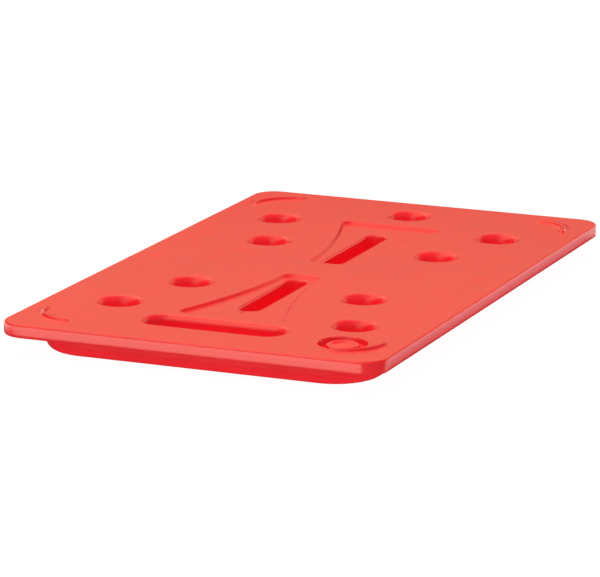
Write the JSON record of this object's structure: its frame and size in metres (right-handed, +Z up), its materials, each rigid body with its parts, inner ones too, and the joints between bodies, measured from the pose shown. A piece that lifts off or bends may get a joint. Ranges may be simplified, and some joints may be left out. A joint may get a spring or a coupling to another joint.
{
  "type": "heat-retaining food carrier plate",
  "caption": "Hollow gel-filled thermal plate with a wide flange, dimpled and flared-recess top, hand hold, fill plug and a shallow pan below.",
  "frame": {"origin": "centre of the plate's outline, on the plane of the pan's underside", "axes": "+Z up out of the dimpled top face, +Y along the long side away from the hand hold, +X across the plate towards the side with the fill plug"},
  "size_m": [0.325, 0.53, 0.03],
  "materials": {
    "polyethylene": "satin, faintly mottled moulded polyethylene",
    "plug_plastic": "satin moulded polyethylene",
    "gel": "wet translucent gel",
    "seal_rubber": "matte"
  },
  "bodies": {
    "root": {"upper_shell": "polyethylene", "lower_shell": "polyethylene", "gel_fill": "gel", "fill_plug": "plug_plastic", "plug_seal": "seal_rubber"}
  },
  "joints": []
}
